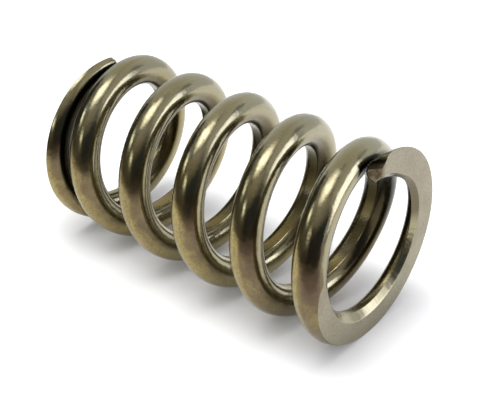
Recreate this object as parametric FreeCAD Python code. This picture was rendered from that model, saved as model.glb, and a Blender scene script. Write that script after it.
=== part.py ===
import FreeCAD, Part
import math
import os

# Heavy compression spring, cold coiled from round wire, closed and ground at both ends. It is one
# piece of wire, so it is one solid. It stands on its ground lower end. The origin is the centre of
# that face, on the axis of the coil, and +Z runs up the axis. The coil is right handed.
# All lengths are in millimetres, and angles are in degrees.

# Wire and coil
wire_diameter = 10.0
mean_diameter = 52.0
free_length = 110.5
total_turns = 6.02
inner_band_width = 3.4        # the wire is flattened this wide where it lay on the coiling mandrel
upper_tip_direction = -45.0   # where the upper wire end lies, from +X and seen from above

# Lower end of the wire. The thickness is what grinding leaves of the wire at its very end. The gap
# is how far that end lies from the next coil. The flat turns lie nearly level, and the opening
# turns after them bring the coil to its working pitch. The flare is how far the last stretch of
# wire springs outwards, and a negative one draws in.
lower_tip_thickness = 2.0
lower_tip_gap = 2.0
lower_flat_turns = 0.72
lower_opening_turns = 0.27
lower_tip_flare = -0.9
lower_flare_turns = 0.6

# Upper end of the wire, with the same meanings
upper_tip_thickness = 3.8
upper_tip_gap = 1.3
upper_flat_turns = 0.4
upper_opening_turns = 0.55
upper_tip_flare = 1.1
upper_flare_turns = 0.22

# The upper end coil lies off the axis, as cold coiled ends often do. This many turns of it are moved
# by the whole distance, and over the turns that follow, the wire comes back to the axis.
upper_coil_off_centre = 1.3
upper_chamfer_off_centre = 0.9
off_centre_direction = -160.0   # from +X and seen from above
off_centre_turns = 0.49
centring_turns = 0.17

# Finish of the ends
chamfer_width = 2.35          # from the inside of the coil out to the chamfer's mouth in the face
chamfer_angle = 45.0          # between the chamfer and the axis
tip_corner_radius = 3.8       # rounding of each wire end's outer corner, seen from above
tip_corner_limit = 0.9        # the most that this rounding may take of the wire's radius

# How the wire is modelled: each end is finished by itself and then joined to the working coils
sections_per_turn = 12
end_turns = 1.3

wire_radius = wire_diameter / 2.0
coil_radius = mean_diameter / 2.0
inner_radius = coil_radius - wire_radius
clear_of_coil = mean_diameter + 2.0 * wire_diameter
up = FreeCAD.Vector(0, 0, 1)

# Heights of the wire's centre at its two ends
lower_end_height = lower_tip_thickness - wire_radius
upper_end_height = free_length - upper_tip_thickness + wire_radius


def eased(x):
    # Share of a change that is done at x, which starts and ends gently between 0 and 1.
    inside = min(max(x, 0.0), 1.0)
    return inside * inside * (3.0 - 2.0 * inside)


def eased_area(x):
    # Area under eased from 0 to x.
    inside = min(max(x, 0.0), 1.0)
    return inside ** 3 - inside ** 4 / 2.0 + max(x - 1.0, 0.0)


def flat_share(flat_turns, opening_turns, turns):
    # Of this many turns from an end, how many count as flat. The rest count as fully open.
    return turns - opening_turns * eased_area((turns - flat_turns) / opening_turns)


# The first turn from each end rises by the wire and its gap, so that the wire's end just clears the
# next coil. The working pitch is what then brings the other end of the wire to its height.
lower_first_flat = flat_share(lower_flat_turns, lower_opening_turns, 1.0)
upper_first_flat = flat_share(upper_flat_turns, upper_opening_turns, 1.0)
lower_all_flat = flat_share(lower_flat_turns, lower_opening_turns, total_turns)
upper_all_flat = flat_share(upper_flat_turns, upper_opening_turns, total_turns)
lower_turns = lower_all_flat / lower_first_flat
upper_turns = upper_all_flat / upper_first_flat
lower_turn_rise = wire_diameter + lower_tip_gap
upper_turn_rise = wire_diameter + upper_tip_gap
working_rise = upper_end_height - lower_end_height
working_rise -= lower_turns * lower_turn_rise + upper_turns * upper_turn_rise
working_pitch = working_rise / (total_turns - lower_turns - upper_turns)
lower_pitch_loss = (working_pitch - lower_turn_rise) / lower_first_flat
upper_pitch_loss = (working_pitch - upper_turn_rise) / upper_first_flat


def wire_height(turn):
    # Height of the wire's centre, a number of turns from the lower end of the wire.
    lower_flat = flat_share(lower_flat_turns, lower_opening_turns, turn)
    upper_flat_left = flat_share(upper_flat_turns, upper_opening_turns, total_turns - turn)
    upper_flat = upper_all_flat - upper_flat_left
    rise = working_pitch * turn - lower_pitch_loss * lower_flat - upper_pitch_loss * upper_flat
    return lower_end_height + rise


def wire_distance(turn):
    # Distance of the wire's centre from the axis.
    lower_flare = lower_tip_flare * eased(1.0 - turn / lower_flare_turns)
    upper_flare = upper_tip_flare * eased(1.0 - (total_turns - turn) / upper_flare_turns)
    return coil_radius + lower_flare + upper_flare


def level_direction(degrees):
    # Direction at this angle from +X, seen from above.
    angle = math.radians(degrees)
    return FreeCAD.Vector(math.cos(angle), math.sin(angle), 0)


def outward(turn):
    # Level direction from the axis to the wire.
    return level_direction(upper_tip_direction + 360.0 * (turn - total_turns))


def off_centre_move(turn):
    # How far the wire is moved sideways, which only the upper end coil is.
    turns_to_go = off_centre_turns + centring_turns - (total_turns - turn)
    distance = upper_coil_off_centre * eased(turns_to_go / centring_turns)
    return level_direction(off_centre_direction) * distance


def wire_centre(turn):
    level_place = outward(turn) * wire_distance(turn) + off_centre_move(turn)
    return level_place + up * wire_height(turn)


def wire_direction(turn):
    # Direction in which the wire runs upwards.
    step = 0.001
    return (wire_centre(turn + step) - wire_centre(turn - step)).normalize()


def wire_section(turn):
    # Outline of the wire, square to the way it runs: a circle with a flat towards the axis.
    along = wire_direction(turn)
    crown = outward(turn).cross(along).normalize()
    outer_side = along.cross(crown)
    centre = wire_centre(turn)
    half_band = inner_band_width / 2.0
    flat_distance = math.sqrt(wire_radius ** 2 - half_band ** 2)
    outermost = centre + outer_side * wire_radius
    upper_edge = centre - outer_side * flat_distance + crown * half_band
    lower_edge = centre - outer_side * flat_distance - crown * half_band
    round_side = Part.Arc(lower_edge, outermost, upper_edge).toShape()
    flat_side = Part.LineSegment(upper_edge, lower_edge).toShape()
    return Part.Wire([round_side, flat_side])


def coiled_wire(first_turn, last_turn):
    # A length of the wire before its ends are finished.
    steps = math.ceil((last_turn - first_turn) * sections_per_turn)
    turns_per_step = (last_turn - first_turn) / steps
    sections = [wire_section(first_turn + turns_per_step * step) for step in range(steps + 1)]
    return Part.makeLoft(sections, True, False)


def grinding_cutter(face_height, into_coil):
    # Everything beyond a ground face.
    return Part.makeCylinder(clear_of_coil, clear_of_coil, up * face_height, into_coil * -1.0)


def chamfer_cutter(face_height, into_coil, off_centre):
    # Cone that opens the inside of the coil towards a ground face. Its mouth is in the face, and it
    # runs on for one wire diameter to both sides of that.
    slope = math.tan(math.radians(chamfer_angle))
    mouth_radius = inner_radius + chamfer_width
    outer_end = mouth_radius + wire_diameter * slope
    inner_end = mouth_radius - wire_diameter * slope
    base = up * face_height - into_coil * wire_diameter
    base += level_direction(off_centre_direction) * off_centre
    return Part.makeCone(outer_end, inner_end, 2.0 * wire_diameter, base, into_coil)


def corner_cutter(turn, back_along_wire, bottom, top):
    # What is taken off a wire end's outer corner: a square block with a round hollow.
    radius = min(tip_corner_radius, tip_corner_limit * wire_radius)
    out = outward(turn)
    end_corner = out * (wire_distance(turn) + wire_radius) + off_centre_move(turn) + up * bottom
    hollow_centre = end_corner - out * radius + back_along_wire * radius
    block_points = [
        hollow_centre,
        hollow_centre + out * wire_diameter,
        hollow_centre + out * wire_diameter - back_along_wire * wire_diameter,
        hollow_centre - back_along_wire * wire_diameter,
    ]
    block = Part.Face(Part.makePolygon(block_points + block_points[:1])).extrude(up * (top - bottom))
    return block.cut(Part.makeCylinder(radius, top - bottom, hollow_centre, up))


def lower_end():
    # The corner cutter reaches halfway into the gap above the wire's end, and never the next coil.
    top = lower_end_height + wire_radius + lower_tip_gap / 2.0
    end = coiled_wire(0.0, end_turns)
    end = end.cut(grinding_cutter(0.0, up))
    end = end.cut(chamfer_cutter(0.0, up, 0.0))
    return end.cut(corner_cutter(0.0, up.cross(outward(0.0)), top - 2.0 * wire_diameter, top))


def upper_end():
    down = up * -1.0
    bottom = upper_end_height - wire_radius - upper_tip_gap / 2.0
    back_along_wire = down.cross(outward(total_turns))
    end = coiled_wire(total_turns - end_turns, total_turns)
    end = end.cut(grinding_cutter(free_length, down))
    end = end.cut(chamfer_cutter(free_length, down, upper_chamfer_off_centre))
    return end.cut(corner_cutter(total_turns, back_along_wire, bottom, bottom + 2.0 * wire_diameter))


def compression_spring():
    working_coils = coiled_wire(end_turns, total_turns - end_turns)
    return working_coils.fuse([lower_end(), upper_end()]).Solids[0]


os.makedirs("parts", exist_ok=True)
compression_spring().exportStep("parts/compression_spring.step")
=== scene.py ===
import math

import bmesh
import bpy
from mathutils import Matrix, Vector

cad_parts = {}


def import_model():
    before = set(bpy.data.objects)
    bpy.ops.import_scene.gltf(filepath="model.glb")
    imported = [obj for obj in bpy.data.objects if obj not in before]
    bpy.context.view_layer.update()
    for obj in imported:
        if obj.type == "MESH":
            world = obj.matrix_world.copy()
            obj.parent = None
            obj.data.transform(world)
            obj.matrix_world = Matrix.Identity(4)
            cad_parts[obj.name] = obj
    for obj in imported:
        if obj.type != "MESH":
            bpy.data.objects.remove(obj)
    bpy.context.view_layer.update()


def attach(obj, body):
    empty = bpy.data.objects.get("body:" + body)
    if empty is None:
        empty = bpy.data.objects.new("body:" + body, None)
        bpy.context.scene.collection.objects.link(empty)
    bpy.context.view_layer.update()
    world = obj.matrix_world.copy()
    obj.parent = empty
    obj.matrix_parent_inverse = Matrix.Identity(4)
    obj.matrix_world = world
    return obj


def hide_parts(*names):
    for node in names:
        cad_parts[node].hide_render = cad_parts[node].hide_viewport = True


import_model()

# Compression spring. Its axis is Z, and the photograph shows it lying on its side, so the floor of
# the scene is a plane that stands beside the axis. Lengths are in metres, and angles in degrees.
MM = 0.001

# The wire, with the same sizes as the CAD part
WIRE_RADIUS = 5.0 * MM
COIL_RADIUS = 26.0 * MM
FREE_LENGTH = 110.5 * MM
TOTAL_TURNS = 6.02
INNER_BAND_WIDTH = 3.4 * MM
UPPER_TIP_DIRECTION = -45.0

# The two ends of the wire. The thickness is what grinding leaves of it, and the gap is how far the
# end lies from the next coil. The flat turns lie nearly level, and the opening turns come after them.
LOWER_TIP = {"thickness": 2.0 * MM, "gap": 2.0 * MM, "flat": 0.72, "opening": 0.27}
UPPER_TIP = {"thickness": 3.8 * MM, "gap": 1.3 * MM, "flat": 0.4, "opening": 0.55}

# How far the last stretch of wire springs outwards, and over how many turns. A negative one draws in.
LOWER_FLARE, LOWER_FLARE_TURNS = -0.9 * MM, 0.6
UPPER_FLARE, UPPER_FLARE_TURNS = 1.1 * MM, 0.22

# The upper end coil lies off the axis, and its chamfer a little less.
COIL_OFF_CENTRE, CHAMFER_OFF_CENTRE = 1.3 * MM, 0.9 * MM
OFF_CENTRE_DIRECTION = -160.0
OFF_CENTRE_TURNS, CENTRING_TURNS = 0.49, 0.17

CHAMFER_MOUTH = COIL_RADIUS - WIRE_RADIUS + 2.35 * MM
TIP_CORNER_RADIUS = 3.8 * MM

# Finish of the edges. The outer edge of the lower ground face is dressed further near its tip.
EDGE_ROUNDING = 0.22 * MM
END_ROUNDING = 0.45 * MM
LOWER_DRESSING, LOWER_DRESSING_TURNS = 1.2 * MM, 0.4

# At the upper tip, the inner edge is dressed back further, and the slanting cut stands out below the
# ground face.
DRESSED_BACK, DRESSED_TURNS = 1.6 * MM, 0.09
NOSE, NOSE_LENGTH = 4.0 * MM, 9.0 * MM

# Where two coils lie closer than the closed gap, the wire between them gets painted shade: from none at
# the first of two heights or depths to fully at the second. These are shares of the wire's radius.
CLOSED_GAP = 9.5 * MM
DARK_TOP = (0.82, 0.97)
DARK_UNDERSIDE = (0.1, 0.6)
DARK_INSIDE = (0.2, 0.7)
INSIDE_DARKNESS = 0.8

# The photograph's viewing angle, found by fitting the spring's outline
CAMERA_PLACE = Vector((0.25852337, 0.02628780, 0.22637135))
CAMERA_RIGHT = Vector((-0.47189472, -0.45345991, 0.75610150))
CAMERA_UP = Vector((0.31128974, -0.88805463, -0.33831593))
FOCAL_PIXELS = 961.05
VIEW_CENTRE = (216.595, 188.727)
PHOTO_SIZE = (480.0, 400.0)
SENSOR_WIDTH = 36.0
NEAREST_SEEN, FARTHEST_SEEN = 0.01, 50.0

# Directions in the studio. The floor lies beside the coil's axis.
FLOOR_UP = Vector((0.69288239, -0.72105062, 0.0))
MIDDLE = Vector((0.0, 0.0, FREE_LENGTH / 2))
TO_CAMERA = CAMERA_PLACE - MIDDLE
TO_VIEWER = (TO_CAMERA - FLOOR_UP * TO_CAMERA.dot(FLOOR_UP)).normalized()
TO_RIGHT = FLOOR_UP.cross(TO_VIEWER)

# Side of the wire that carries brown stains and painted shade, a darker reflection of the shaded floor
STAINED_AND_SHADED_SIDE = (TO_VIEWER * 0.97 + TO_RIGHT * 0.15 + FLOOR_UP * 0.05).normalized()
# Side of the wire that carries the straw film, whose colour there is partly a painted warm reflection
# of the floor
FILM_AND_REFLECTION_SIDE = (TO_VIEWER * 0.6 - TO_RIGHT * 0.45 - FLOOR_UP * 0.66).normalized()

# Mesh. The end steps and corner steps are angles round the edge and the corner of a wire end, where
# its rings lie.
ONE_TURN = 2.0 * math.pi * COIL_RADIUS
RINGS_PER_TURN = 96
FLAT_DISTANCE = math.sqrt(WIRE_RADIUS**2 - (INNER_BAND_WIDTH / 2) ** 2)
BAND_EDGE = 180.0 - math.degrees(math.asin(INNER_BAND_WIDTH / 2 / WIRE_RADIUS))
END_STEPS = (0.0, 30.0, 60.0, 90.0)
CORNER_STEPS = (30.0, 45.0, 60.0, 75.0, 90.0)
TURN_STEP = 1e-3
TINY = 1e-9
WELD_DISTANCE = 1e-6
UV_PER_METRE = 10.0


def eased(x):
    # Share of a change that is done at x, which starts and ends gently between 0 and 1.
    x = min(max(x, 0.0), 1.0)
    return x * x * (3.0 - 2.0 * x)


def eased_between(value, start, end):
    # Share of a change from start to end that is done at this value.
    return eased((value - start) / (end - start))


def eased_area(x):
    # Area under eased from 0 to x.
    inside = min(max(x, 0.0), 1.0)
    return inside**3 - inside**4 / 2.0 + max(x - 1.0, 0.0)


def flat_share(tip, turns):
    # Of this many turns from a tip, how many count as flat. The rest count as fully open.
    return turns - tip["opening"] * eased_area((turns - tip["flat"]) / tip["opening"])


LOWER_END_HEIGHT = LOWER_TIP["thickness"] - WIRE_RADIUS
UPPER_END_HEIGHT = FREE_LENGTH - UPPER_TIP["thickness"] + WIRE_RADIUS
LOWER_TURNS = flat_share(LOWER_TIP, TOTAL_TURNS) / flat_share(LOWER_TIP, 1.0)
UPPER_TURNS = flat_share(UPPER_TIP, TOTAL_TURNS) / flat_share(UPPER_TIP, 1.0)
LOWER_RISE = 2 * WIRE_RADIUS + LOWER_TIP["gap"]
UPPER_RISE = 2 * WIRE_RADIUS + UPPER_TIP["gap"]
WORKING_RISE = UPPER_END_HEIGHT - LOWER_END_HEIGHT - LOWER_TURNS * LOWER_RISE - UPPER_TURNS * UPPER_RISE
PITCH = WORKING_RISE / (TOTAL_TURNS - LOWER_TURNS - UPPER_TURNS)
LOWER_LOSS = (PITCH - LOWER_RISE) / flat_share(LOWER_TIP, 1.0)
UPPER_LOSS = (PITCH - UPPER_RISE) / flat_share(UPPER_TIP, 1.0)


def wire_height(turn):
    # Height of the wire's centre, a number of turns from its lower tip.
    lower = flat_share(LOWER_TIP, turn)
    upper = flat_share(UPPER_TIP, TOTAL_TURNS) - flat_share(UPPER_TIP, TOTAL_TURNS - turn)
    return LOWER_END_HEIGHT + PITCH * turn - LOWER_LOSS * lower - UPPER_LOSS * upper


def wire_distance(turn):
    # Distance of the wire's centre from the axis.
    lower = LOWER_FLARE * eased(1.0 - turn / LOWER_FLARE_TURNS)
    upper = UPPER_FLARE * eased(1.0 - (TOTAL_TURNS - turn) / UPPER_FLARE_TURNS)
    return COIL_RADIUS + lower + upper


def level_direction(degrees):
    # Direction at this angle from +X, seen from above.
    angle = math.radians(degrees)
    return Vector((math.cos(angle), math.sin(angle), 0.0))


def outward(turn):
    # Level direction from the axis to the wire.
    return level_direction(UPPER_TIP_DIRECTION + 360.0 * (turn - TOTAL_TURNS))


def off_centre_share(turn):
    # How much of the upper end coil's move off the axis there is at this turn.
    return eased((OFF_CENTRE_TURNS + CENTRING_TURNS - (TOTAL_TURNS - turn)) / CENTRING_TURNS)


def wire_centre(turn):
    level_place = outward(turn) * wire_distance(turn)
    level_place += level_direction(OFF_CENTRE_DIRECTION) * COIL_OFF_CENTRE * off_centre_share(turn)
    return level_place + Vector((0, 0, wire_height(turn)))


def section_axes(turn):
    # Outer side and crown of the wire's section, square to the way the wire runs.
    along = (wire_centre(turn + TURN_STEP) - wire_centre(turn - TURN_STEP)).normalized()
    crown = outward(turn).cross(along).normalized()
    return along.cross(crown), crown


def gap_to_neighbour(turn, step):
    # Gap to the coil above for a step of 1, or below for -1. Past the end of that coil, it is the
    # distance to its end.
    neighbour = turn + step
    reached = min(max(neighbour, 0.0), TOTAL_TURNS)
    gap = (wire_height(reached) - wire_height(reached - step)) * step - 2.0 * WIRE_RADIUS
    return gap + abs(neighbour - reached) * ONE_TURN


def closed_share(turn, step):
    # How closely the next coil lies, between 0 and 1. It is 1 from half of the closed gap down.
    return eased(2.0 * (1.0 - gap_to_neighbour(turn, step) / CLOSED_GAP))


def gap_shade_at(point, closed_above, closed_below):
    # How much painted shade a point of the section has, between 0 and 1: where it faces a close coil,
    # and on the inside of the coil there.
    height, depth = point.y / WIRE_RADIUS, -point.x / WIRE_RADIUS
    if height > 0.0:
        facing = eased_between(height, *DARK_TOP) * closed_above
    else:
        facing = eased_between(-height, *DARK_UNDERSIDE) * closed_below
    inside = eased_between(depth, *DARK_INSIDE) * INSIDE_DARKNESS
    return max(facing, inside * max(closed_above, closed_below))


# The section's outline in pieces, with the steps in each, going round from its lower outer corner
PIECES = (
    ("skin", 18), ("upper_face", 6), ("upper_chamfer", 4), ("skin", 3),
    ("band", 5), ("skin", 3), ("lower_chamfer", 4), ("lower_face", 6),
)

# The corners between the pieces are angles from the outermost point. Where the wire isn't ground they
# are only lines along it, and past the ground turns they spread out to their resting angles.
RESTING_ANGLES = (62.0, 108.0, 136.0)
GROUND_TURNS, SPREADING_TURNS = 0.8, 0.4
LOWEST_CUT = -0.999  # as a share of the wire's radius
HALVINGS = 40

# A piece's length is measured in chords, and at most this share of it goes to each rounded corner.
CHORDS = 6
LARGEST_ROUNDING = 0.3


def section_outline(turn, shrink):
    # Radius of the section, and how far it reaches inwards to the band and outwards. The outer reach
    # rounds the corner of a wire end.
    from_end = min(turn, TOTAL_TURNS - turn) * 2.0 * math.pi * wire_distance(turn)
    taken = max(TIP_CORNER_RADIUS - from_end, 0.0)
    corner = WIRE_RADIUS - shrink - TIP_CORNER_RADIUS + math.sqrt(TIP_CORNER_RADIUS**2 - taken**2)
    return WIRE_RADIUS - shrink, FLAT_DISTANCE - shrink, corner


def outline_point(angle, outline):
    # Point of the outline at an angle from the outermost point, before grinding.
    radius, band, corner = outline
    a = math.radians(angle)
    return Vector((max(min(radius * math.cos(a), corner), -band), radius * math.sin(a)))


def upper_chamfer_mouth(turn):
    # Where the upper chamfer meets its ground face, outwards from the wire's centre.
    lead = CHAMFER_OFF_CENTRE - COIL_OFF_CENTRE * off_centre_share(turn)
    mouth = CHAMFER_MOUTH - wire_distance(turn)
    mouth += lead * outward(turn).dot(level_direction(OFF_CENTRE_DIRECTION))
    return mouth + DRESSED_BACK * eased(1.0 - (TOTAL_TURNS - turn) / DRESSED_TURNS)


def ground_corners(height_left, slope, outline, shrink, mouth, turns_from_end):
    # Angles of the three corners on the upper side of a section, and where its ground face ends, if it
    # has one. height_left is from the wire's centre up to that face.
    radius, band, _ = outline
    level = (height_left - shrink) / slope
    if level >= radius:
        spread = eased((turns_from_end - GROUND_TURNS) / SPREADING_TURNS)
        return [90.0 + (a - 90.0) * spread for a in RESTING_ANGLES], None
    outer = math.degrees(math.asin(max(level / radius, LOWEST_CUT)))
    inner = 180.0 - outer
    reach = mouth - height_left + shrink * math.sqrt(2.0)

    def past_chamfer(angle):
        point = outline_point(angle, outline)
        return point.x - slope * point.y - reach

    if past_chamfer(inner) >= 0.0:
        flat_end = Vector((max(radius * math.cos(math.radians(inner)), -band), level))
        return [outer, inner, inner], flat_end
    low, high = inner, 270.0
    for _ in range(HALVINGS):
        middle = (low + high) / 2
        low, high = (middle, high) if past_chamfer(middle) < 0.0 else (low, middle)
    return [outer, inner, high], Vector((reach + slope * level, level))


def piece_points(outline, start, end, count, line, first, last):
    # Points of one piece of the outline, with one close to each of its corners. A ground piece is a
    # straight line, and the others follow the wire between two angles.
    def at(share):
        if line:
            return line[0].lerp(line[1], share)
        return outline_point(start + (end - start) * share, outline)

    chords = [(at(i / CHORDS) - at((i - 1) / CHORDS)).length for i in range(1, CHORDS + 1)]
    length = max(sum(chords), TINY)
    near_first = min(first / length, LARGEST_ROUNDING)
    near_last = min(last / length, LARGEST_ROUNDING)
    shares = [0.0, near_first, 1.0 - near_last] + [i / count for i in range(1, count)]
    return [at(share) for share in sorted(shares)]


def section_points(turn, shrink):
    # Points of the section in its own plane, and which of its sides are ground.
    outline = section_outline(turn, shrink)
    height, slope = wire_height(turn), section_axes(turn)[1].z
    upper_mouth, lower_mouth = upper_chamfer_mouth(turn), CHAMFER_MOUTH - wire_distance(turn)
    upper, upper_flat_end = ground_corners(
        FREE_LENGTH - height, slope, outline, shrink, upper_mouth, TOTAL_TURNS - turn,
    )
    lower, lower_flat_end = ground_corners(height, slope, outline, shrink, lower_mouth, turn)
    lower = [360.0 - a for a in lower]
    ground = {"upper": upper_flat_end is not None, "lower": lower_flat_end is not None}
    if ground["upper"]:
        lower = [max(a, upper[2]) for a in lower]
    else:
        upper = [min(a, lower[2]) for a in upper]
    band_edges = [min(max(a, upper[2]), lower[2]) for a in (BAND_EDGE, 360.0 - BAND_EDGE)]
    stops = [lower[0] - 360.0, *upper, *band_edges, *reversed(lower)]

    lines = {}
    if ground["upper"]:
        lines["upper_face"] = (outline_point(upper[0], outline), upper_flat_end)
        lines["upper_chamfer"] = (upper_flat_end, outline_point(upper[2], outline))
    if ground["lower"]:
        flat_end = Vector((lower_flat_end.x, -lower_flat_end.y))
        lines["lower_chamfer"] = (outline_point(lower[2], outline), flat_end)
        lines["lower_face"] = (flat_end, outline_point(lower[0], outline))
    dressed = max(LOWER_DRESSING * eased(1.0 - turn / LOWER_DRESSING_TURNS), EDGE_ROUNDING)
    points, corners = [], []
    for i, (name, count) in enumerate(PIECES):
        corners.append(len(points))
        first = dressed if i == 0 else EDGE_ROUNDING
        last = dressed if i == len(PIECES) - 1 else EDGE_ROUNDING
        points += piece_points(outline, stops[i], stops[i + 1], count, lines.get(name), first, last)

    # Each corner is taken back halfway to the middle of its neighbours.
    rounded = [point.copy() for point in points]
    for c in corners:
        rounded[c] = points[c] * 0.5 + points[c - 1] * 0.25 + points[(c + 1) % len(points)] * 0.25
    return rounded, ground


def ring_turns():
    # Turns and shrink of each ring. The rings close up at the wire's ends, which are rounded, and lie
    # close together over the rounded corners behind them.
    ends = []
    for angle in END_STEPS:
        a = math.radians(angle)
        ends.append((END_ROUNDING * (1 - math.cos(a)) / ONE_TURN, END_ROUNDING * (1 - math.sin(a))))
    for angle in CORNER_STEPS:
        ends.append((TIP_CORNER_RADIUS * (1 - math.cos(math.radians(angle))) / ONE_TURN, 0.0))
    first = ends[-1][0]
    steps = math.ceil((TOTAL_TURNS - 2 * first) * RINGS_PER_TURN)
    middle = [(first + (TOTAL_TURNS - 2 * first) * i / steps, 0.0) for i in range(1, steps)]
    return ends + middle + [(TOTAL_TURNS - turn, shrink) for turn, shrink in reversed(ends)]


# Finishes of the wire, in the order of the mesh's material slots, and the piece of each row of faces
SURFACES = ("skin", "face", "chamfer", "band", "end")
ROW_PIECES = [name for name, count in PIECES for _ in range(count + 2)]


def surface_number(piece, ground):
    # The finish of a piece of the outline. A side that isn't ground keeps its drawn skin.
    side, _, surface = piece.rpartition("_")
    return SURFACES.index(surface if ground.get(side, True) else "skin")


def ring_edges(bm, ring):
    return [bm.edges.get(pair) for pair in zip(ring, ring[1:] + ring[:1])]


def next_ring(bm, ring):
    # Extrudes a ring, and gives the new one in the same order.
    made = bmesh.ops.extrude_edge_only(bm, edges=ring_edges(bm, ring))["geom"]
    fresh = {item for item in made if isinstance(item, bmesh.types.BMVert)}
    return [e.other_vert(vert) for vert in ring for e in vert.link_edges if e.other_vert(vert) in fresh]


def shape_ring(ring, turn, shrink, layers):
    # Brings a ring to its place on the wire, and tells which of its sides are ground.
    along_layer, around_layer, gap_shade_layer = layers
    points, ground = section_points(turn, shrink)
    outer, crown = section_axes(turn)
    centre = wire_centre(turn)
    from_end = (TOTAL_TURNS - turn) * ONE_TURN
    nose = crown.cross(outer) * NOSE * eased(1.0 - from_end / NOSE_LENGTH)
    closed_above, closed_below = closed_share(turn, 1), closed_share(turn, -1)
    around, last = 0.0, points[0]
    for vert, point in zip(ring, points):
        around += (point - last).length
        last = point
        co = centre + outer * point.x + crown * point.y
        co.z = min(max(co.z, shrink), FREE_LENGTH - shrink)
        vert.co = co + nose * min((FREE_LENGTH - co.z) / UPPER_TIP["thickness"], 1.0)
        vert[along_layer] = turn * ONE_TURN
        vert[around_layer] = around
        # Painted shade between close coils, kept on each vertex
        vert[gap_shade_layer] = gap_shade_at(point, closed_above, closed_below)
    return ground


def unroll(bm, uv, along_layer, around_layer):
    # UV map of the wire: the distance along it and around it. A face on the seam ends just past the
    # last row, so that no pattern runs backwards over it.
    for face in bm.faces:
        arounds = [vert[around_layer] for vert in face.verts]
        furthest = max(arounds)
        on_seam = len(arounds) == 4 and furthest > math.pi * WIRE_RADIUS and min(arounds) < TINY
        for loop in face.loops:
            around = loop.vert[around_layer]
            if on_seam and around < TINY:
                around = furthest + EDGE_ROUNDING
            loop[uv].uv = (loop.vert[along_layer] * UV_PER_METRE, around * UV_PER_METRE)


def wire_mesh():
    # The wire, made of rings of its section from the lower tip to the upper one.
    bm = bmesh.new()
    layers = [bm.verts.layers.float.new(name) for name in ("along", "around", "gap_shade")]
    uv = bm.loops.layers.uv.new("wire")
    rings = ring_turns()
    circle = bmesh.ops.create_circle(bm, segments=len(ROW_PIECES), radius=WIRE_RADIUS)["verts"]
    ring = sorted(circle, key=lambda vert: math.atan2(vert.co.y, vert.co.x) % (2 * math.pi))
    first_ring = ring
    ground = shape_ring(ring, *rings[0], layers)
    for turn, shrink in rings[1:]:
        ring = next_ring(bm, ring)
        ground_before, ground = ground, shape_ring(ring, turn, shrink, layers)
        both_ground = {side: ground[side] and ground_before[side] for side in ground}
        for piece, edge in zip(ROW_PIECES, ring_edges(bm, ring)):
            edge.link_faces[0].material_index = surface_number(piece, both_ground)
    for end_ring in (first_ring, ring):
        for cap in bmesh.ops.edgeloop_fill(bm, edges=ring_edges(bm, end_ring))["faces"]:
            cap.material_index = SURFACES.index("end")
    unroll(bm, uv, *layers[:2])
    for face in bm.faces:
        face.smooth = True
    bmesh.ops.remove_doubles(bm, verts=bm.verts, dist=WELD_DISTANCE)
    bmesh.ops.recalc_face_normals(bm, faces=bm.faces)
    mesh = bpy.data.meshes.new("spring_wire")
    bm.to_mesh(mesh)
    bm.free()
    return mesh


# Shader nodes. A Mix node of colours keeps its sockets at these numbers.
MIX_SHARE, MIX_FIRST, MIX_SECOND, MIX_RESULT = 0, 6, 7, 2


def rgba(colour):
    return (*colour, 1.0) if isinstance(colour, tuple) else colour


def node(tree, kind, inputs=None, **settings):
    # A shader node. Its inputs go by name or number, and each is a value or another node's output.
    made = tree.nodes.new(kind)
    for key, value in settings.items():
        setattr(made, key, value)
    for key, value in (inputs or {}).items():
        if isinstance(value, bpy.types.NodeSocket):
            tree.links.new(value, made.inputs[key])
        else:
            made.inputs[key].default_value = value
    return made


def maths(tree, operation, *values):
    return node(tree, "ShaderNodeMath", dict(enumerate(values)), operation=operation).outputs[0]


def vector_maths(tree, operation, *values):
    made = node(tree, "ShaderNodeVectorMath", dict(enumerate(values)), operation=operation)
    return made.outputs["Value" if operation == "DOT_PRODUCT" else "Vector"]


def combined(tree, x, y, z):
    # One vector from three values, and separated is the way back.
    return node(tree, "ShaderNodeCombineXYZ", {0: x, 1: y, 2: z}).outputs[0]


def separated(tree, vector):
    return node(tree, "ShaderNodeSeparateXYZ", {0: vector}).outputs


def times(tree, *values):
    product = values[0]
    for value in values[1:]:
        product = maths(tree, "MULTIPLY", product, value)
    return product


def total(tree, *values):
    result = values[0]
    for value in values[1:]:
        result = maths(tree, "ADD", result, value)
    return result


def built_up(tree, base, *parts):
    # A base and the parts on top of it. Each part is a pattern and how much of it there is.
    return total(tree, base, *[times(tree, pattern, amount) for pattern, amount in parts])


def stretched(tree, vector, sizes):
    # The vector in steps of these sizes.
    return vector_maths(tree, "DIVIDE", vector, sizes)


def noise(tree, vector, detail):
    inputs = {"Vector": vector, "Scale": 1.0, "Detail": detail}
    return node(tree, "ShaderNodeTexNoise", inputs).outputs[0]


def step_between(tree, value, start, end):
    # 0 before start, 1 past end, and eased in between.
    inputs = {"Value": value, "From Min": start, "From Max": end}
    return node(tree, "ShaderNodeMapRange", inputs, interpolation_type="SMOOTHSTEP").outputs[0]


def mixed(tree, share, first, second):
    inputs = {MIX_SHARE: share, MIX_FIRST: rgba(first), MIX_SECOND: rgba(second)}
    return node(tree, "ShaderNodeMix", inputs, data_type="RGBA").outputs[MIX_RESULT]


def coated(tree, colour, *coats):
    # A colour with coats over it. Each coat is how far it covers and its own colour.
    for share, coat in coats:
        colour = mixed(tree, share, colour, coat)
    return colour


def new_group(name, inputs, output):
    tree = bpy.data.node_groups.new(name, "ShaderNodeTree")
    for label, kind, value in inputs:
        socket = tree.interface.new_socket(label, in_out="INPUT", socket_type="NodeSocket" + kind)
        if value is not None:
            socket.default_value = value
    tree.interface.new_socket(output, in_out="OUTPUT", socket_type="NodeSocketFloat")
    return tree, tree.nodes.new("NodeGroupInput").outputs, tree.nodes.new("NodeGroupOutput").inputs


BROAD_LINES = (2.7, 3.6, 1.0)  # how much longer and wider the broad lines are than the fine ones


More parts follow.
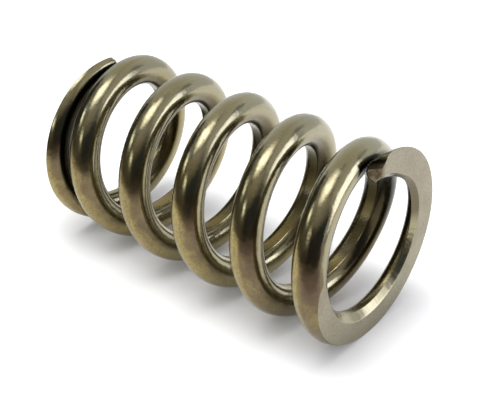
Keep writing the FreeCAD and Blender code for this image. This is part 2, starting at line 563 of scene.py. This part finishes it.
def fine_lines_group():
    # Lines along the vector's X, as drawing and grinding leave them, fine ones among broader ones. All
    # lengths are in millimetres.
    inputs = (("Vector", "Vector", None), ("Length", "Float", 12.0), ("Pitch", "Float", 0.4))
    tree, given, out = new_group("fine_lines", inputs, "Height")
    fine_sizes = combined(tree, given["Length"], given["Pitch"], 1.0)
    fine = noise(tree, stretched(tree, given["Vector"], fine_sizes), 1.0)
    broad_sizes = vector_maths(tree, "MULTIPLY", fine_sizes, BROAD_LINES)
    broad = noise(tree, stretched(tree, given["Vector"], broad_sizes), 1.0)
    height = total(tree, times(tree, fine, 0.45), times(tree, broad, 0.55))
    tree.links.new(height, out["Height"])
    return tree


def patches_group():
    # Soft patches, between 0 and 1.
    inputs = (("Vector", "Vector", None), ("Size", "Float", 8.0))
    tree, given, out = new_group("patches", inputs, "Amount")
    sizes = combined(tree, *[given["Size"]] * 3)
    cloud = noise(tree, stretched(tree, given["Vector"], sizes), 3.0)
    tree.links.new(step_between(tree, cloud, 0.3, 0.7), out["Amount"])
    return tree


def nicks_group():
    # Small pits and nicks, scattered unevenly. Depth is 1 at the bottom of one.
    inputs = (("Vector", "Vector", None), ("Spacing", "Float", 2.4), ("Width", "Float", 0.5))
    tree, given, out = new_group("nicks", inputs, "Depth")
    sizes = combined(tree, *[given["Spacing"]] * 3)
    place = stretched(tree, given["Vector"], sizes)
    cell = node(tree, "ShaderNodeTexVoronoi", {"Vector": place, "Scale": 1.0}).outputs
    distance = times(tree, cell["Distance"], given["Spacing"])
    hollow = step_between(tree, distance, times(tree, given["Width"], 0.5), 0.0)
    chance = node(tree, "ShaderNodeSeparateColor", {0: cell["Color"]}).outputs[0]
    tree.links.new(times(tree, hollow, step_between(tree, chance, 0.55, 0.75)), out["Depth"])
    return tree


FINE_LINES, PATCHES, NICKS = fine_lines_group(), patches_group(), nicks_group()


def placed(tree, group, **inputs):
    # A pattern placed in a material with its own values.
    return node(tree, "ShaderNodeGroup", inputs, node_tree=group).outputs[0]


def on_wire_surface(tree):
    # Millimetres along the wire and around it.
    uv = node(tree, "ShaderNodeUVMap", uv_map="wire").outputs[0]
    return stretched(tree, uv, (UV_PER_METRE * MM, UV_PER_METRE * MM, 1.0))


def in_object(tree, turn=0.0, shift=(0.0, 0.0, 0.0)):
    # Millimetres in the object, turned about its axis by some degrees.
    place = node(tree, "ShaderNodeTexCoord").outputs["Object"]
    inputs = {"Vector": place, "Scale": (1000.0,) * 3, "Location": shift}
    inputs["Rotation"] = (0.0, 0.0, math.radians(turn))
    return node(tree, "ShaderNodeMapping", inputs).outputs[0]


def faces_towards(tree, direction):
    # How far the surface faces a direction that is fixed in the object, between -1 and 1.
    facing = node(tree, "ShaderNodeTexCoord").outputs["Normal"]
    return vector_maths(tree, "DOT_PRODUCT", facing, tuple(direction))


def faces_axis(tree):
    # 1 on the inside of the coil, and 0 on its outside.
    coordinates = node(tree, "ShaderNodeTexCoord").outputs
    level = vector_maths(tree, "MULTIPLY", coordinates["Object"], (1.0, 1.0, 0.0))
    out = vector_maths(tree, "NORMALIZE", level)
    return step_between(tree, vector_maths(tree, "DOT_PRODUCT", coordinates["Normal"], out), 0.1, -0.5)


def faces_down(tree):
    # 0 where the lying spring faces up from the floor, and 1 where it faces level or down.
    return step_between(tree, faces_towards(tree, FLOOR_UP), 0.32, 0.12)


def gap_shade(tree):
    # Painted shade on the wire between close coils, between 0 and 1.
    return node(tree, "ShaderNodeAttribute", attribute_name="gap_shade").outputs["Fac"]


def metal(name, finish):
    # A metal whose finish gives its colour, its roughness and the height of its surface in millimetres.
    material = bpy.data.materials.new(name)
    material.use_nodes = True
    tree = material.node_tree
    shader = tree.nodes["Principled BSDF"]
    colour, roughness, height = finish(tree)
    tree.links.new(colour, shader.inputs["Base Color"])
    tree.links.new(roughness, shader.inputs["Roughness"])
    bump = node(tree, "ShaderNodeBump", {"Height": height, "Distance": MM, "Strength": 1.0})
    tree.links.new(bump.outputs[0], shader.inputs["Normal"])
    shader.inputs["Metallic"].default_value = 1.0
    return material


# Colours of the drawn wire, its film, what has settled on it and its painted shade
STEEL = (0.33, 0.30, 0.193)
STRAW = (0.385, 0.312, 0.12)
BROWN = (0.12, 0.088, 0.058)
# Painted shade in the gaps between close coils
PAINTED_GAP_SHADE = (0.03, 0.026, 0.014)
# Painted shade on the inside of the coil, low down
INSIDE_SHADE = (0.11, 0.092, 0.038)

# Colours where the metal is dressed, ground or cut
DOWN_FACING_CHAMFER_STEEL = (0.15, 0.128, 0.082)
GROUND_STEEL = (0.335, 0.298, 0.212)
DULL_STEEL = (0.24, 0.212, 0.148)
STAINED_STEEL = (0.32, 0.30, 0.208)
CUT_STEEL = (0.065, 0.048, 0.03)
SMEARED_STEEL = (0.19, 0.155, 0.10)

CHAMFER_FLAT = 2.7  # millimetres from one dressed flat to the next
RIDGE_PITCH = 0.62  # millimetres from one mandrel ridge to the next


def drawn_finish(tree):
    # Drawn wire under a thin film, which is straw coloured and grainy on the film side; there the straw
    # colour is partly a painted warm reflection of the floor. Brown stains lie on the stained side,
    # with more of them near the upper end, together with painted shade, a darker reflection of the
    # shaded floor.
    # A band of painted dark reflection runs along each front, and painted shade lies low down inside
    # the coil and between close coils.
    surface, place = on_wire_surface(tree), in_object(tree)
    lines = placed(tree, FINE_LINES, Vector=surface, Length=14.0, Pitch=0.34)
    long_lines = placed(tree, FINE_LINES, Vector=surface, Length=40.0, Pitch=1.1)
    streaks = step_between(tree, long_lines, 0.4, 0.62)
    large = placed(tree, PATCHES, Vector=place, Size=11.0)
    small = placed(tree, PATCHES, Vector=in_object(tree, shift=(40.0, 0.0, 7.0)), Size=3.0)
    grain = placed(tree, PATCHES, Vector=in_object(tree, shift=(0.0, 30.0, 0.0)), Size=0.6)
    nicks = placed(tree, NICKS, Vector=surface, Spacing=2.4, Width=0.6)

    # The straw film: grain and roughness, and a colour that is partly a painted warm reflection of the
    # floor
    film_and_reflection_facing = total(tree, faces_towards(tree, FILM_AND_REFLECTION_SIDE), times(tree, large, 0.3), -0.15)
    film_and_reflection = step_between(tree, film_and_reflection_facing, -0.2, 0.7)
    near_top = step_between(tree, separated(tree, place)[2], 70.0, 100.0)
    brown_facing = built_up(
        tree, faces_towards(tree, STAINED_AND_SHADED_SIDE), (small, 0.06), (times(tree, near_top, film_and_reflection), 0.35),
    )
    brownness = built_up(tree, 0.35, (large, 0.3), (near_top, 0.15))
    # Brown stains, patchy and more near the upper end, and painted shade on the side facing the viewer
    # and right
    stains_and_shade = times(tree, step_between(tree, brown_facing, 0.86, 1.02), brownness)
    rise = total(tree, faces_towards(tree, FLOOR_UP), times(tree, small, 0.1), -0.05)
    above, below = step_between(tree, rise, -0.12, -0.03), step_between(tree, rise, 0.38, 0.26)
    # A band of painted dark reflection, tinted brown, along each front
    front = step_between(tree, faces_towards(tree, TO_VIEWER), 0.78, 0.93)
    brown = total(tree, stains_and_shade, times(tree, above, below, front, 0.32))
    # Painted shade low down on the inside of the coil
    inside = times(tree, faces_axis(tree), faces_down(tree))
    grain_share = total(tree, times(tree, film_and_reflection, 0.45), 0.05)
    grime = total(tree, times(tree, streaks, 0.15), times(tree, grain, grain_share))
    colour = coated(
        tree, STEEL, (film_and_reflection, STRAW), (brown, BROWN), (inside, INSIDE_SHADE), (grime, BROWN),
        (times(tree, nicks, 0.6), BROWN), (gap_shade(tree), PAINTED_GAP_SHADE),
    )

    worn_top = times(tree, step_between(tree, faces_towards(tree, FLOOR_UP), 0.55, 0.95), small)
    roughness = built_up(
        tree, 0.11, (small, 0.04), (streaks, 0.05), (grain, 0.03), (film_and_reflection, 0.06), (nicks, 0.2),
        (worn_top, 0.12),
    )
    height = built_up(tree, 0.0, (lines, 0.016), (small, 0.022), (grain, 0.004), (nicks, -0.02))
    return colour, roughness, height


def ground_finish(tree):
    # A ground end face: satin, with the lines of the grinding wheel and dull patches. The half that
    # lies lower is stained.
    place = in_object(tree, turn=32.0)
    lines = placed(tree, FINE_LINES, Vector=place, Length=16.0, Pitch=0.3)
    large = placed(tree, PATCHES, Vector=place, Size=7.0)
    nicks = placed(tree, NICKS, Vector=place, Spacing=2.0, Width=0.5)
    grain = placed(tree, PATCHES, Vector=place, Size=0.8)
    dull = total(tree, times(tree, large, 0.25), times(tree, grain, 0.75))
    rise = vector_maths(tree, "DOT_PRODUCT", in_object(tree), tuple(FLOOR_UP))
    stained = step_between(tree, rise, 0.0, -26.0)
    colour = coated(
        tree, GROUND_STEEL, (stained, STAINED_STEEL), (dull, DULL_STEEL),
        (times(tree, nicks, 0.5), BROWN),
    )
    roughness = built_up(tree, 0.36, (large, 0.06))
    height = built_up(tree, 0.0, (lines, 0.010), (nicks, -0.03))
    return colour, roughness, height


def dressed_finish(tree):
    # A chamfer dressed by hand: short flats one after the other, with marks across them.
    surface, place = on_wire_surface(tree), in_object(tree)
    along, around, _ = separated(tree, surface)
    lines = placed(tree, FINE_LINES, Vector=combined(tree, around, along, 0.0), Length=5.0, Pitch=0.5)
    large = placed(tree, PATCHES, Vector=place, Size=6.0)
    flats = maths(tree, "PINGPONG", total(tree, times(tree, along, 1.0 / CHAMFER_FLAT), large), 0.5)
    # The chamfer is darker where it faces down, towards the floor
    low = step_between(tree, faces_towards(tree, FLOOR_UP), 0.1, -0.1)
    colour = coated(tree, STEEL, (low, DOWN_FACING_CHAMFER_STEEL))
    roughness = built_up(tree, 0.20, (large, 0.08))
    height = built_up(tree, 0.0, (lines, 0.010), (flats, 0.04))
    return colour, roughness, height


def mandrel_finish(tree):
    # The inside of the coil, pressed flat on the mandrel, with fine slanting ridges, and painted shade
    # where it faces down.
    surface, place = on_wire_surface(tree), in_object(tree)
    along, around, _ = separated(tree, surface)
    large = placed(tree, PATCHES, Vector=place, Size=8.0)
    slanted = built_up(tree, along, (around, 0.45), (large, 0.5))
    ridges = maths(tree, "SINE", times(tree, slanted, 2.0 * math.pi / RIDGE_PITCH))
    lines = placed(tree, FINE_LINES, Vector=surface, Length=9.0, Pitch=0.4)
    valleys = times(tree, step_between(tree, ridges, 0.2, -1.0), 0.7)
    colour = coated(tree, STEEL, (large, STRAW), (valleys, BROWN), (faces_down(tree), INSIDE_SHADE))
    roughness = built_up(tree, 0.2, (large, 0.08))
    height = built_up(tree, 0.0, (ridges, 0.003), (lines, 0.004))
    return colour, roughness, height


def cut_finish(tree):
    # The cut end of the wire, brown and smeared by the shear.
    place = in_object(tree)
    lines = placed(tree, FINE_LINES, Vector=place, Length=6.0, Pitch=0.5)
    large = placed(tree, PATCHES, Vector=place, Size=2.2)
    colour = coated(tree, CUT_STEEL, (large, SMEARED_STEEL))
    roughness = built_up(tree, 0.22, (large, 0.12))
    height = built_up(tree, 0.0, (lines, 0.03), (large, 0.04))
    return colour, roughness, height


# The spring. Its finishes come in the order of the surfaces.
spring = bpy.data.objects.new("spring_wire", wire_mesh())
bpy.context.scene.collection.objects.link(spring)
for name, finish in (
    ("bright_wire", drawn_finish),
    ("ground_face", ground_finish),
    ("dressed_chamfer", dressed_finish),
    ("mandrel_band", mandrel_finish),
    ("cut_end", cut_finish),
):
    spring.data.materials.append(metal(name, finish))
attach(spring, "root")
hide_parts("compression_spring")

# Distances in the studio, from the middle of the spring
LAMP_DISTANCE = 1.2
DARK_CARD_DISTANCE = 1.15
WALL_DISTANCE = 1.6

# The floor. Its shadow fades out beyond a half length and a half width about its middle.
FLOOR_BELOW_AXIS = 31.05 * MM
FLOOR_REACH = (0.16, 0.5, 0.115, 0.7)  # to the left, right, front and back of the spring
SHADOW_HALF_LENGTH, SHADOW_HALF_WIDTH = 52.0 * MM, 15.0 * MM
SHADOW_FADE, SHADOW_MIDDLE = 24.0 * MM, 4.0 * MM
FLOOR_COLOUR = (0.88, 0.885, 0.92)
FLOOR_GLOW, FAR_GLOW = 0.07, 0.48

# The room about the spring, as colours at their elevations. A pale wall is behind it and to the right.
# The rest is dim from the horizon up, paler overhead, and pale low down, as a table that goes on.
WALL_AZIMUTH = 136.5
WALL_EDGE = (-0.07, 0.09)
ROOM_COLOURS = (
    (-20, (0.80, 0.74, 0.68)), (-12, (0.76, 0.70, 0.64)), (-5, (0.08, 0.078, 0.074)),
    (10, (0.12, 0.12, 0.115)), (32, (0.17, 0.165, 0.155)),
    (45, (0.38, 0.36, 0.32)), (60, (0.54, 0.525, 0.48)), (90, (0.68, 0.66, 0.61)),
)
WALL_COLOURS = (
    (-20, (0.84, 0.88, 0.92)), (8, (0.86, 0.90, 0.94)), (25, (0.88, 0.9, 0.92)),
    (45, (0.72, 0.70, 0.62)), (60, (0.66, 0.63, 0.55)), (90, (0.68, 0.66, 0.61)),
)

# Light
WHITE = (1.0, 1.0, 1.0)
SOFT_WHITE = (1.0, 0.99, 0.96)
COOL_WHITE = (1.0, 1.03, 1.18)
DAYLIGHT = (0.93, 1.0, 1.04)
DIM_GREY = (0.3, 0.3, 0.28)

# Cloth of the cards that shade the spring
BLACK_FELT = (0.05, 0.055, 0.055)
BLUE_BLACK_FELT = (0.06, 0.07, 0.08)
GREY_FELT = (0.45, 0.5, 0.5)


def camera():
    # The photograph's camera. Its shift brings the middle of the view to where the photograph has it.
    data = bpy.data.cameras.new("photo_camera")
    width, height = PHOTO_SIZE
    data.sensor_width = SENSOR_WIDTH
    data.lens = SENSOR_WIDTH * FOCAL_PIXELS / width
    data.shift_x = (width / 2 - VIEW_CENTRE[0]) / width
    data.shift_y = (VIEW_CENTRE[1] - height / 2) / width
    data.clip_start, data.clip_end = NEAREST_SEEN, FARTHEST_SEEN
    item = bpy.data.objects.new("photo_camera", data)
    back = CAMERA_RIGHT.cross(CAMERA_UP)
    turn = Matrix((CAMERA_RIGHT, CAMERA_UP, back)).transposed()
    item.matrix_world = Matrix.Translation(CAMERA_PLACE) @ turn.to_4x4()
    bpy.context.scene.collection.objects.link(item)
    bpy.context.scene.camera = item


def studio_direction(azimuth, elevation):
    # Azimuth 0 is towards the viewer, and 90 is to the right. Elevation is above the floor.
    a, e = math.radians(azimuth), math.radians(elevation)
    level = TO_VIEWER * math.cos(a) + TO_RIGHT * math.sin(a)
    return level * math.cos(e) + FLOOR_UP * math.sin(e)


def turned_to(x, y, z):
    # The turn that brings the three axes to these directions.
    return Matrix((x, y, z)).transposed().to_4x4()


def stage_material(name):
    material = bpy.data.materials.new(name)
    material.use_nodes = True
    material.node_tree.nodes.clear()
    return material, material.node_tree


def show(tree, shader):
    # Makes the shader the surface of its material.
    node(tree, "ShaderNodeOutputMaterial", {"Surface": shader.outputs[0]})


def stage_piece(name, bm, material, matrix):
    bmesh.ops.transform(bm, matrix=matrix, verts=bm.verts)
    mesh = bpy.data.meshes.new(name)
    bm.to_mesh(mesh)
    bm.free()
    mesh.materials.append(material)
    item = bpy.data.objects.new(name, mesh)
    bpy.context.scene.collection.objects.link(item)
    return item


def card(name, material, distance, azimuth, elevation, width, height, turned=0.0):
    # A flat card that faces the spring, out of the camera's sight. Width and height are in degrees, as
    # the spring sees them.
    to_card = studio_direction(azimuth, elevation)
    side = FLOOR_UP.cross(to_card).normalized()
    side = Matrix.Rotation(math.radians(turned), 3, to_card) @ side
    rise = to_card.cross(side)
    half_width = math.tan(math.radians(width / 2)) * distance
    half_height = math.tan(math.radians(height / 2)) * distance
    bm = bmesh.new()
    bm.loops.layers.uv.new("card")
    bmesh.ops.create_grid(bm, x_segments=1, y_segments=1, size=1.0, calc_uvs=True)
    turn = turned_to(side * half_width, rise * half_height, to_card * -1.0)
    place = Matrix.Translation(MIDDLE + to_card * distance)
    item = stage_piece(name, bm, material, place @ turn)
    item.visible_camera = False


def lamp(name, strength, colour, soft, **place):
    # A lamp behind a diffuser. Soft is the share of it that fades towards its edges.
    material, tree = stage_material(name)
    parts = separated(tree, node(tree, "ShaderNodeTexCoord").outputs["UV"])
    level = strength
    for axis in range(2):
        off_centre = maths(tree, "ABSOLUTE", maths(tree, "SUBTRACT", parts[axis], 0.5))
        level = times(tree, level, step_between(tree, off_centre, 0.5, 0.5 - soft / 2))
    show(tree, node(tree, "ShaderNodeEmission", {"Color": rgba(colour), "Strength": level}))
    card(name, material, LAMP_DISTANCE, **place)


def dark_card(name, colour, **place):
    # A card covered in cloth, a little nearer than the lamps.
    material, tree = stage_material(name)
    show(tree, node(tree, "ShaderNodeBsdfDiffuse", {"Color": rgba(colour)}))
    card(name, material, DARK_CARD_DISTANCE, **place)


def height_ramp(tree, height, stops):
    # Colours by height in the studio. Each stop is an elevation in degrees and a colour.
    share = maths(tree, "MULTIPLY_ADD", height, 0.5, 0.5)
    made = node(tree, "ShaderNodeValToRGB", {0: share})
    elements = made.color_ramp.elements
    while len(elements) < len(stops):
        elements.new(0.5)
    for element, (elevation, colour) in zip(elements, stops):
        element.position = math.sin(math.radians(elevation)) * 0.5 + 0.5
        element.color = rgba(colour)
    return made.outputs[0]


def studio_walls():
    # A dome about the spring that glows in the colours of the room and of its pale wall.
    material, tree = stage_material("studio_walls")
    place = node(tree, "ShaderNodeTexCoord").outputs["Object"]
    right, viewer, up = separated(tree, vector_maths(tree, "NORMALIZE", place))
    azimuth = math.radians(WALL_AZIMUTH)
    to_wall = total(tree, times(tree, right, math.sin(azimuth)), times(tree, viewer, math.cos(azimuth)))
    wall = step_between(tree, to_wall, *WALL_EDGE)
    room = height_ramp(tree, up, ROOM_COLOURS)
    colour = mixed(tree, wall, room, height_ramp(tree, up, WALL_COLOURS))
    show(tree, node(tree, "ShaderNodeEmission", {"Color": colour, "Strength": 1.0}))
    material.cycles.emission_sampling = "NONE"
    bm = bmesh.new()
    bmesh.ops.create_icosphere(bm, subdivisions=4, radius=WALL_DISTANCE)
    bmesh.ops.reverse_faces(bm, faces=bm.faces)
    item = stage_piece("studio_walls", bm, material, Matrix.Identity(4))
    item.matrix_world = Matrix.Translation(MIDDLE) @ turned_to(TO_RIGHT, TO_VIEWER, FLOOR_UP)
    item.visible_camera = False


def seen_directly_or_mirrored(tree):
    # 1 for the camera and for what metal or glass shows, and 0 for the light that the surface gives.
    path = node(tree, "ShaderNodeLightPath").outputs
    seen = maths(tree, "MAXIMUM", path["Is Camera Ray"], path["Is Glossy Ray"])
    return maths(tree, "MAXIMUM", seen, path["Is Transmission Ray"])


def either(tree, share, first, second):
    # The first shader where the share is 0, and the second where it is 1.
    inputs = {0: share, 1: first.outputs[0], 2: second.outputs[0]}
    return node(tree, "ShaderNodeMixShader", inputs)


def beyond(tree, value, limit):
    # How far a value is past a limit on either side of 0, and 0 within it.
    return maths(tree, "MAXIMUM", total(tree, maths(tree, "ABSOLUTE", value), -limit), 0.0)


def floor():
    # A pale sheet, clear from behind. It glows a little, only to be seen, so that it comes out white,
    # and more so away from the spring and its shadow.
    material, tree = stage_material("pale_floor")
    sheet = node(tree, "ShaderNodeBsdfDiffuse", {"Color": rgba(FLOOR_COLOUR)})
    along, aside, _ = separated(tree, node(tree, "ShaderNodeTexCoord").outputs["Object"])
    ahead = beyond(tree, along, SHADOW_HALF_LENGTH)
    beside = beyond(tree, total(tree, aside, -SHADOW_MIDDLE), SHADOW_HALF_WIDTH)
    squares = total(tree, times(tree, ahead, ahead), times(tree, beside, beside))
    distance = maths(tree, "POWER", squares, 0.5)
    far = times(tree, step_between(tree, distance, 0.0, SHADOW_FADE), FAR_GLOW)
    level = times(tree, seen_directly_or_mirrored(tree), total(tree, far, FLOOR_GLOW))
    glow = node(tree, "ShaderNodeEmission", {"Strength": level})
    both = node(tree, "ShaderNodeAddShader", {0: sheet.outputs[0], 1: glow.outputs[0]})
    behind = node(tree, "ShaderNodeNewGeometry").outputs["Backfacing"]
    show(tree, either(tree, behind, both, node(tree, "ShaderNodeBsdfTransparent")))

    left, right, front, back = FLOOR_REACH
    axis = Vector((0.0, 0.0, 1.0))
    turn = turned_to(axis, FLOOR_UP.cross(axis), FLOOR_UP)
    bm = bmesh.new()
    bmesh.ops.create_grid(bm, x_segments=1, y_segments=1, size=0.5)
    sides = turned_to(TO_VIEWER * (front + back), TO_RIGHT * (left + right), FLOOR_UP)
    reach = Matrix.Translation(TO_RIGHT * (right - left) / 2 + TO_VIEWER * (front - back) / 2)
    item = stage_piece("pale_floor", bm, material, turn.inverted() @ reach @ sides)
    item.matrix_world = Matrix.Translation(MIDDLE - FLOOR_UP * FLOOR_BELOW_AXIS) @ turn


def world():
    # White where it is seen, and dim as a light.
    made = bpy.data.worlds.new("studio")
    bpy.context.scene.world = made
    made.use_nodes = True
    tree = made.node_tree
    tree.nodes.clear()
    dim = node(tree, "ShaderNodeBackground", {"Color": rgba(DIM_GREY)})
    white = node(tree, "ShaderNodeBackground", {"Color": rgba(WHITE)})
    shown = either(tree, seen_directly_or_mirrored(tree), dim, white)
    node(tree, "ShaderNodeOutputWorld", {"Surface": shown.outputs[0]})


camera()
floor()
world()
studio_walls()
lamp(
    "overhead_softbox", strength=4.3, colour=SOFT_WHITE, soft=0.75,
    azimuth=-60, elevation=81, width=58, height=44, turned=56,
)
lamp(
    "right_softbox", strength=3.4, colour=COOL_WHITE, soft=0.5,
    azimuth=82, elevation=16, width=52, height=44,
)
lamp(
    "left_window", strength=3.6, colour=DAYLIGHT, soft=0.9,
    azimuth=-89, elevation=31, width=29, height=21,
)
lamp(
    "front_left_window", strength=3.8, colour=DAYLIGHT, soft=0.9,
    azimuth=-45, elevation=26, width=28, height=16,
)
dark_card("left_black_card", BLACK_FELT, azimuth=-122, elevation=23, width=40, height=36)
dark_card("front_black_card", BLUE_BLACK_FELT, azimuth=12, elevation=18.5, width=74, height=26)
dark_card("right_grey_card", GREY_FELT, azimuth=118, elevation=30, width=12, height=16)

bpy.context.scene.view_settings.view_transform = "Standard"
